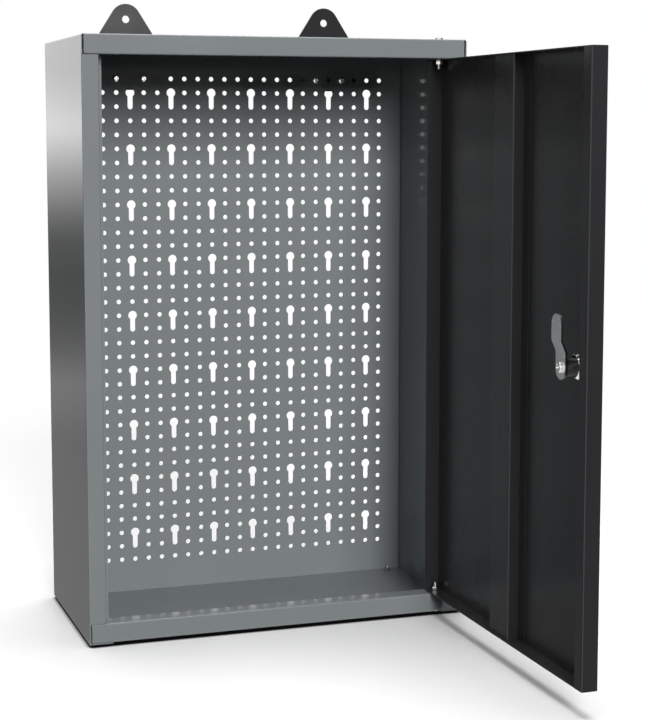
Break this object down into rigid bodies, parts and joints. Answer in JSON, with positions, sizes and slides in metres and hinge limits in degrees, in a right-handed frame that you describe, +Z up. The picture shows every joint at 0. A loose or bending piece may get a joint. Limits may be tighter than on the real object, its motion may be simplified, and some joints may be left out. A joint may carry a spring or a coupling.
{
  "type": "wall cabinet",
  "caption": "Steel wall cabinet with hanging lugs, a keyhole-perforated back panel and an inset hinged door that a turning cam lock closes.",
  "frame": {"origin": "on the wall plane, midway between the holes of the two hanging lugs", "axes": "+Z up, +Y into the wall, +X to the right of someone who faces the cabinet"},
  "size_m": [0.4, 0.5458, 0.6452],
  "materials": {
    "grey_paint": "semi-gloss powder coat",
    "black_paint": "satin powder coat",
    "lug_paint": "satin powder coat",
    "zinc_steel": "bright zinc plating",
    "cam_steel": "dull zinc plating",
    "bright_metal": "nickel plating",
    "black_casting": "black coated casting"
  },
  "bodies": {
    "cabinet": {"body_wrap": "grey_paint", "bottom_panel": "grey_paint", "back_panel": "grey_paint", "hanging_lug_left": "lug_paint", "hanging_lug_right": "lug_paint", "lug_screws": "zinc_steel", "lug_nuts": "zinc_steel", "floor_bolts": "zinc_steel", "floor_nuts": "zinc_steel", "top_hinge_bolt": "zinc_steel", "top_hinge_nut": "zinc_steel", "bottom_hinge_bolt": "zinc_steel", "bottom_hinge_nut": "zinc_steel", "bottom_hinge_washer": "zinc_steel"},
    "door": {"door_panel": "black_paint", "door_stiffener": "black_paint", "lock_housing": "black_casting", "lock_nut": "bright_metal"},
    "lock_rotor": {"lock_plug": "bright_metal", "lock_cam": "cam_steel", "cam_screw": "bright_metal"}
  },
  "joints": [
    {"name": "door_hinge", "type": "hinge", "parent": "cabinet", "child": "door", "pos_m": [0.1723, -0.1931, -0.3255], "axis": [0, 0, 1], "range_deg": [-90, 20]},
    {"name": "lock_turn", "type": "hinge", "parent": "door", "child": "lock_rotor", "pos_m": [0.1792, -0.5008, -0.3242], "axis": [1, 0, 0], "range_deg": [0, 90]}
  ]
}
